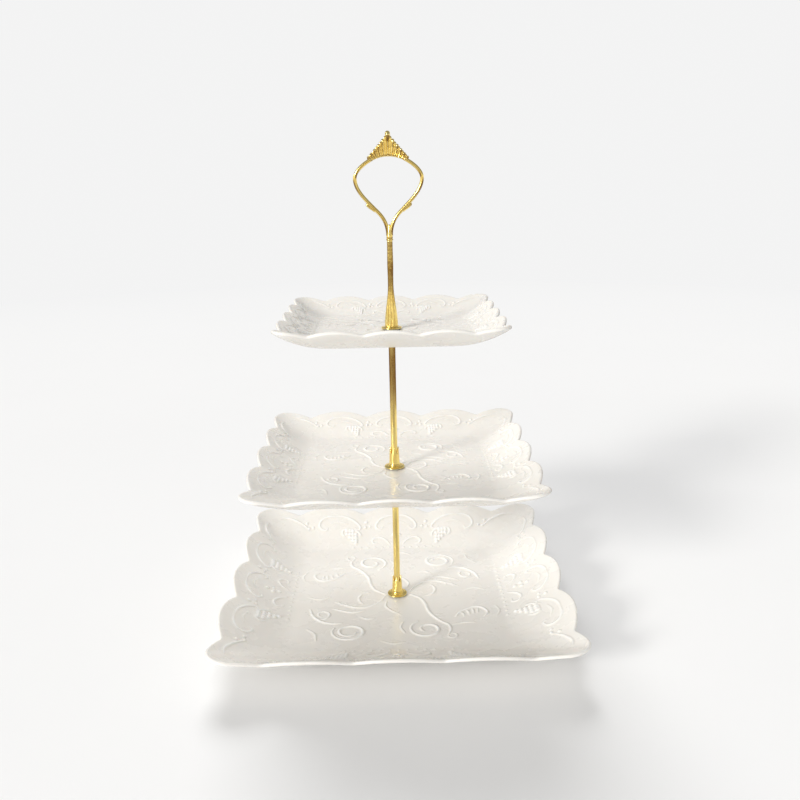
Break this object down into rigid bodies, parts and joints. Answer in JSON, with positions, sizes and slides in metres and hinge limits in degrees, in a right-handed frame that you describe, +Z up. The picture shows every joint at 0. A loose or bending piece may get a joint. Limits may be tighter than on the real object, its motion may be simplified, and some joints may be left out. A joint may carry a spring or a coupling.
{
  "type": "tiered cake stand",
  "caption": "Cake stand of square scalloped porcelain plates stacked on a screw-together gilt column, with a crowned loop handle for lifting.",
  "frame": {"origin": "centre of the bottom plate's foot, on the table", "axes": "+Z up along the column, +X and +Y square to the plates' sides"},
  "size_m": [0.252, 0.252, 0.3552],
  "materials": {
    "porcelain": "glossy warm white glaze with embossed scrolls",
    "gilt": "polished gold plating on cast zinc and steel rod",
    "clear_pad": "clear soft washer, satin"
  },
  "bodies": {
    "bottom_tier": {"bottom_plate": "porcelain", "base_under_pad": "clear_pad", "base_pad": "clear_pad"},
    "lower_column": {"base_screw": "gilt", "base_under_washer": "gilt", "base_disc": "gilt", "lower_rod_foot": "gilt", "lower_rod": "gilt", "middle_under_washer": "gilt"},
    "middle_tier": {"middle_plate": "porcelain", "middle_under_pad": "clear_pad", "middle_pad": "clear_pad"},
    "middle_clamp": {"middle_disc": "gilt"},
    "upper_column": {"upper_rod_foot": "gilt", "upper_rod": "gilt", "top_under_washer": "gilt"},
    "top_tier": {"top_plate": "porcelain", "top_under_pad": "clear_pad", "top_pad": "clear_pad"},
    "top_clamp": {"top_disc": "gilt"},
    "handle": {"handle_stem": "gilt", "neck_ring": "gilt", "handle_loop": "gilt", "crown_finial": "gilt"}
  },
  "joints": [
    {"name": "column_swivel", "type": "hinge", "parent": "bottom_tier", "child": "lower_column", "pos_m": [0, 0, 0.01], "axis": [0, 0, 1], "continuous": true},
    {"name": "middle_plate_swivel", "type": "hinge", "parent": "lower_column", "child": "middle_tier", "pos_m": [0, 0, 0.115], "axis": [0, 0, 1], "continuous": true},
    {"name": "upper_rod_turn", "type": "hinge", "parent": "lower_column", "child": "middle_clamp", "pos_m": [0, 0, 0.115], "axis": [0, 0, 1], "range_deg": [0, 3600]},
    {"name": "upper_rod_rise", "type": "slide", "parent": "middle_clamp", "child": "upper_column", "axis": [0, 0, 1], "range_m": [0, 0.007]},
    {"name": "top_plate_swivel", "type": "hinge", "parent": "upper_column", "child": "top_tier", "pos_m": [0, 0, 0.22], "axis": [0, 0, 1], "continuous": true},
    {"name": "handle_turn", "type": "hinge", "parent": "upper_column", "child": "top_clamp", "pos_m": [0, 0, 0.22], "axis": [0, 0, 1], "range_deg": [0, 3600]},
    {"name": "handle_rise", "type": "slide", "parent": "top_clamp", "child": "handle", "axis": [0, 0, 1], "range_m": [0, 0.007]}
  ],
  "couplings": [
    {"joint": "upper_rod_turn", "follows": "upper_rod_rise", "rad_per_m": 8976},
    {"joint": "handle_turn", "follows": "handle_rise", "rad_per_m": 8976}
  ]
}
